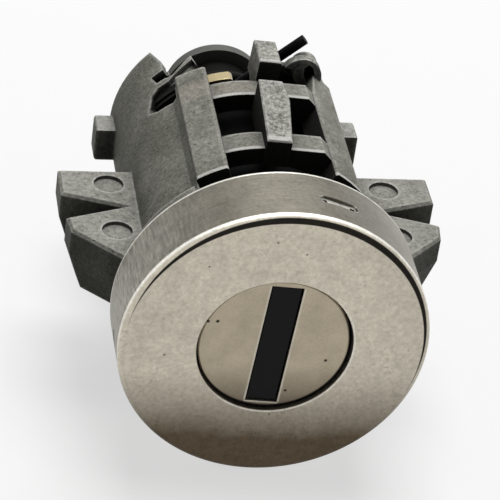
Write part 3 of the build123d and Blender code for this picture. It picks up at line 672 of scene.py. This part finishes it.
# %% The spring's path
# In millimetres and degrees, angles from +X towards +Z
LEG_ANGLE = 45.9
LEG_LENGTH = 14.0
COIL_RADIUS = 6.1
COIL_FRONT = 26.95
COIL_PITCH = 1.7
FULL_TURNS = 3
FOOT_ANGLE = 270.0
FOOT_RADIUS = 3.9
STEPS_A_TURN = 48
BEND_STEPS = 6
BEND_SHARE = 0.4


def on_coil(angle, y, radius=COIL_RADIUS):
    """A point of the coil, or of another circle round the axis."""
    return Vector((radius * math.cos(math.radians(angle)), y, radius * math.sin(math.radians(angle))))


def spring_path():
    """Points along the wire, from the leg's free end to the end of the foot."""
    start = LEG_ANGLE + 90
    first = on_coil(start, COIL_FRONT)
    out = on_coil(LEG_ANGLE, 0, 1.0)
    leg_steps = round(LEG_LENGTH)
    points = [first + out * (LEG_LENGTH * (1 - i / leg_steps)) for i in range(leg_steps)]
    sweep = (FOOT_ANGLE - start) % 360 + FULL_TURNS * 360
    steps = round(sweep / 360 * STEPS_A_TURN)
    for i in range(steps + 1):
        turned = sweep * i / steps
        points.append(on_coil(start + turned, COIL_FRONT + COIL_PITCH * turned / 360))
    # The wire bends inwards to its foot in a small round
    corner = points[-1]
    before = points[-3]
    foot = on_coil(FOOT_ANGLE, corner.y, FOOT_RADIUS)
    inwards = corner.lerp(foot, BEND_SHARE)
    points = points[:-3]
    for i in range(BEND_STEPS + 1):
        t = i / BEND_STEPS
        points.append(before.lerp(corner, t).lerp(corner.lerp(inwards, t), t))
    points.append(foot)
    return [point * MM for point in points]


path = spring_path()
print("points along the return spring:", len(path))

# %% [markdown]
# Each ring of the tube stands square to the path. Its first direction is any one across the wire,
# and every later one is the last, turned by as much as the path turned, so the tube never twists.

# %% Sweep a wire
def swept_wire(name, path, radius, ring_points, finish):
    """A closed round tube along a path, all in metres."""
    vertices = []
    faces = []
    ahead = (path[1] - path[0]).normalized()
    side = ahead.orthogonal().normalized()
    for i, point in enumerate(path):
        before = path[max(i - 1, 0)]
        after = path[min(i + 1, len(path) - 1)]
        new_ahead = (after - before).normalized()
        side = ahead.rotation_difference(new_ahead) @ side
        ahead = new_ahead
        other = ahead.cross(side)
        for k in range(ring_points):
            turn = 2 * math.pi * k / ring_points
            vertices.append(point + (side * math.cos(turn) + other * math.sin(turn)) * radius)
    for i in range(len(path) - 1):
        for k in range(ring_points):
            after = (k + 1) % ring_points
            low = i * ring_points
            high = low + ring_points
            faces.append((low + k, low + after, high + after, high + k))
    last = (len(path) - 1) * ring_points
    faces.append(tuple(reversed(range(ring_points))))
    faces.append(tuple(range(last, last + ring_points)))
    piece = new_piece(name, vertices, faces, finish)
    flat_ends = (len(faces) - 2, len(faces) - 1)
    for polygon in piece.data.polygons:
        polygon.use_smooth = polygon.index not in flat_ends
    return piece


# %% [markdown]
# The foot sits in the plug and the leg bears on the housing, so the real coil winds up as the plug
# turns. A spring that rode on one body alone would cut into the plug or leave the housing; this
# one rides on no body.

# %% The return spring
WIRE_RADIUS = 0.545
WIRE_RING = 16
BLACK_WIRE = ("black spring wire", (0.002, 0.002, 0.002), (0.015, 0.015, 0.015), 0.0, 0.55, 0.04, 1.5)

spring = swept_wire("return_spring_wire", path, WIRE_RADIUS * MM, WIRE_RING, small_finish(*BLACK_WIRE))
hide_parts("return_spring")
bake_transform(spring)

# %% [markdown]
# Two smaller springs move with their joints too, so they are swept in the same way, each from a
# helix of its own. They could stay as the solids draw them, but then a moving piece would pass
# through its spring.

# %% Two small springs
SMALL_STEPS = 24
SMALL_RING = 10


def helix(radius, length, turns):
    """Points round the Z axis in millimetres, from +X at z = 0 up to z = length."""
    count = round(turns * SMALL_STEPS)
    points = []
    for i in range(count + 1):
        angle = 2 * math.pi * turns * i / count
        points.append(Vector((radius * math.cos(angle), radius * math.sin(angle), length * i / count)))
    return points


def small_wire(name, points, place, wire, stands_for):
    """A spring of bright wire through these points, in millimetres, that replaces a node."""
    path = [(place + point) * MM for point in points]
    piece = swept_wire(name, path, wire * MM, SMALL_RING, bright_steel)
    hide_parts(stands_for)
    return piece


# %% [markdown]
# Nothing here squashes the spring with its pose. If it did, the wire would get thinner with it, as
# a real one doesn't, but at this size that can't be seen, and a helix wound again for each pose
# would be far more work.

# %% The retaining wafer's spring
RETAINER_SEAT = Vector((0, 24.75, -6.9))
RETAINER_COIL = 0.85
RETAINER_TURNS = 4
RETAINER_LENGTH = 4.3
RETAINER_WIRE = 0.15

turns = helix(RETAINER_COIL, RETAINER_LENGTH - 2 * RETAINER_WIRE, RETAINER_TURNS)
retaining_spring = small_wire("retaining_spring_wire", turns, RETAINER_SEAT + Vector((0, 0, RETAINER_WIRE)),
                              RETAINER_WIRE, "retaining_spring")
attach(retaining_spring, "plug")
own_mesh(retaining_spring)

# %% [markdown]
# Left as it was, the arm would cross the open key slot.

# %% The flap's spring
FLAP_PIN = Vector((-2.5, -5.75, 0))
FLAP_WIRE = 0.09
FLAP_COIL = 0.55
FLAP_TURNS = 5.5
FLAP_LENGTH = 1.92
ARM_BACK = -0.09
ARM_REACH = 1.9
TAIL = 0.3

turns = helix(FLAP_COIL, FLAP_LENGTH, FLAP_TURNS)
arm = [Vector((ARM_REACH, ARM_BACK, 0)), Vector((FLAP_COIL, ARM_BACK, 0))]
tail = [turns[-1] - Vector((TAIL, 0, 0))]
flap_spring = small_wire("shutter_spring_wire", arm + turns + tail,
                         FLAP_PIN - Vector((0, 0, FLAP_LENGTH / 2)), FLAP_WIRE, "shutter_spring")
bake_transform(flap_spring)

# %% [markdown]
# The lock lies on white studio card. What the eye, the steel and any glass see of the card and the
# air round it is white, but the light that they throw back at matt surfaces is low, as with
# black flags beside a small product. That keeps the fronts of the ears and rails dark. The card
# still takes the shadow of the lock.

# %% Floor
CARD_HALF = 1.5
CARD_GAP = 0.0002
CARD_DULL = (0.10, 0.10, 0.10)
CARD_WHITE = (0.90, 0.90, 0.90)
CARD_GLOW = 0.62
# In millimetres, as every field of place is: round this distance, and over this width, the card
# turns to plain white
CARD_FADE_MIDDLE = 190
CARD_FADE_WIDTH = 240

paper = Finish("white card", metallic=0.0, roughness=0.9, specular=0.1)
seen = paper.seen_directly()
fibre = paper.noise(0.4, detail=3)
paper.colour(paper.tint(paper.mix(seen, CARD_DULL, CARD_WHITE), 0.98 + fibre * 0.04))
glow = paper.node("ShaderNodeEmission", {}, {"Color": (1.0, 1.0, 1.0), "Strength": 1.0})
lit = Field(paper.tree, paper.shader.outputs[0])
white = CARD_GLOW + (1 - CARD_GLOW) * paper.x.hypotenuse(paper.y).above(CARD_FADE_MIDDLE, CARD_FADE_WIDTH)
both = paper.node("ShaderNodeMixShader", {}, {0: seen * white, 1: lit, 2: glow})
paper.put(paper.tree.nodes["Material Output"].inputs["Surface"], both)

card_z = cad_box[0].z - CARD_GAP
corners = [(x * CARD_HALF, y * CARD_HALF, card_z) for x, y in ((-1, -1), (1, -1), (1, 1), (-1, 1))]
card = new_piece("studio_card", corners, [(0, 1, 2, 3)], paper)

# %% [markdown]
# The air round the lock follows the same rule as the card: white where it is seen directly, and dim
# as light. A second lamp could fill the shadows, but a dim sky does it from all sides at once.

# %% World
AMBIENT = 0.10

world = bpy.data.worlds.new("studio air")
bpy.context.scene.world = world
world.use_nodes = True
air = Shader(world.node_tree)
background = world.node_tree.nodes["Background"]
air.put(background.inputs["Color"], (1.0, 1.0, 1.0))
air.put(background.inputs["Strength"], AMBIENT + (1 - AMBIENT) * air.seen_directly())
print("nodes in the air:", len(world.node_tree.nodes))

# %% [markdown]
# One soft box above and a little behind gives the tops their light and leaves the fronts in shade.
# Its power is set so that a level surface renders as bright as its colour is written. A lamp in
# front would be simpler to aim, but it would flatten the rails and ears.

# %% Soft box
BOX_PLACE = Vector((0.02, 0.16, 0.42))
BOX_TARGET = Vector((0, 0.01, 0))
BOX_WIDTH = 0.30
BOX_POWER = 2.1

lamp = bpy.data.lights.new("overhead", "AREA")
lamp.shape = "SQUARE"
lamp.size = BOX_WIDTH
lamp.energy = BOX_POWER
soft_box = bpy.data.objects.new("overhead", lamp)
soft_box.location = BOX_PLACE
soft_box.rotation_mode = "QUATERNION"
soft_box.rotation_quaternion = (BOX_TARGET - BOX_PLACE).to_track_quat("-Z", "Y")
bpy.context.scene.collection.objects.link(soft_box)
print("the soft box hangs %.0f mm from the lock" % ((BOX_PLACE - BOX_TARGET).length / MM))

# %% [markdown]
# The camera stands where the photograph was taken: 16 degrees round to the left of the cap's face,
# 34 degrees up, 26 centimetres off, and rolled a little. Its place was fitted to the photograph. A
# camera aimed at the lock's middle would be simpler, but it couldn't be laid over the picture. The
# lens shows only the lock's part of it.

# %% Camera
CAMERA_PLACE = Vector((-58.326, -204.336, 142.985))
CAMERA_RIGHT = Vector((0.97185, -0.13631, 0.19214))
CAMERA_UP = Vector((-0.08149, 0.57074, 0.81708))
FOCAL_PIXELS = 1108.5
FRAME_PIXELS = 210
SENSOR = 36

camera_data = bpy.data.cameras.new("camera")
camera_data.sensor_width = SENSOR
camera_data.lens = SENSOR * FOCAL_PIXELS / FRAME_PIXELS
camera_data.clip_start = 0.01
camera_data.clip_end = 10
camera = bpy.data.objects.new("camera", camera_data)
turn = Matrix((CAMERA_RIGHT, CAMERA_UP, CAMERA_RIGHT.cross(CAMERA_UP))).transposed()
camera.matrix_world = Matrix.Translation(CAMERA_PLACE * MM) @ turn.to_4x4()
bpy.context.scene.collection.objects.link(camera)
bpy.context.scene.camera = camera
print("lens: %.0f mm, camera %.0f mm off" % (camera_data.lens, CAMERA_PLACE.length))

# %% [markdown]
# Last, the plain view transform keeps the colours as they are written.

# %% View transform
bpy.context.scene.view_settings.view_transform = "Standard"
